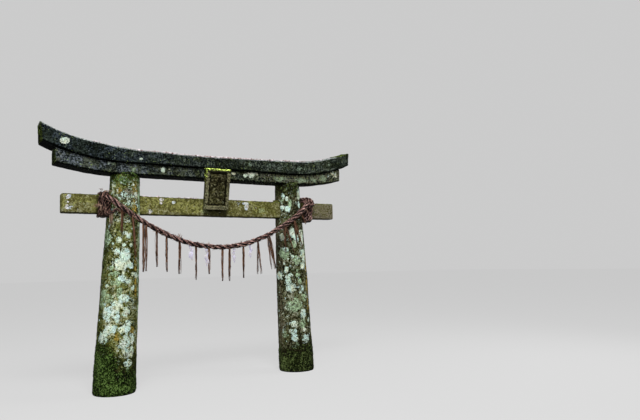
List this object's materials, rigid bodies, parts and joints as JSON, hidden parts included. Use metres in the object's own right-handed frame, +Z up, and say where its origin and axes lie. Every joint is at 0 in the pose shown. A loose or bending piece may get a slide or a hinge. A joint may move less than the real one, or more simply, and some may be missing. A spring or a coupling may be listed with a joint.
{
  "type": "stone torii gate",
  "caption": "Weathered stone torii gate with leaning round pillars, a tie beam, upswept lintels, a tilted tablet and a hanging twisted straw rope with tassels and paper streamers.",
  "frame": {"origin": "on the ground, midway between the two pillars and in the middle of the gate's depth", "axes": "+X along the gate, +Y towards its back (the tablet and rope are at the front, -Y), +Z up"},
  "size_m": [4.68, 0.555, 3.512],
  "materials": {
    "pillar_stone": "rough, mossy, with pale lichen patches",
    "beam_stone": "rough, olive brown moss film",
    "lintel_stone": "rough, dark and damp",
    "tablet_stone": "rough, moss on the upper edge",
    "straw_rope": "matt twisted straw",
    "white_paper": "matt folded paper"
  },
  "bodies": {
    "root": {"left_pillar": "pillar_stone", "right_pillar": "pillar_stone", "tie_beam": "beam_stone", "left_wedge": "beam_stone", "right_wedge": "beam_stone", "lower_lintel": "lintel_stone", "top_lintel": "lintel_stone", "tablet_strut": "tablet_stone", "tablet": "tablet_stone", "rope": "straw_rope", "left_rope_turns": "straw_rope", "right_rope_turns": "straw_rope", "tassel_01": "straw_rope", "tassel_02": "straw_rope", "tassel_03": "straw_rope", "tassel_04": "straw_rope", "tassel_05": "straw_rope", "tassel_06": "straw_rope", "tassel_07": "straw_rope", "tassel_08": "straw_rope", "tassel_09": "straw_rope", "tassel_10": "straw_rope", "tassel_11": "straw_rope", "tassel_12": "straw_rope", "tassel_13": "straw_rope", "tassel_14": "straw_rope", "tassel_15": "straw_rope", "tassel_16": "straw_rope", "tassel_17": "straw_rope", "tassel_18": "straw_rope", "streamer_01": "white_paper", "streamer_02": "white_paper", "streamer_03": "white_paper", "streamer_04": "white_paper"}
  },
  "joints": []
}
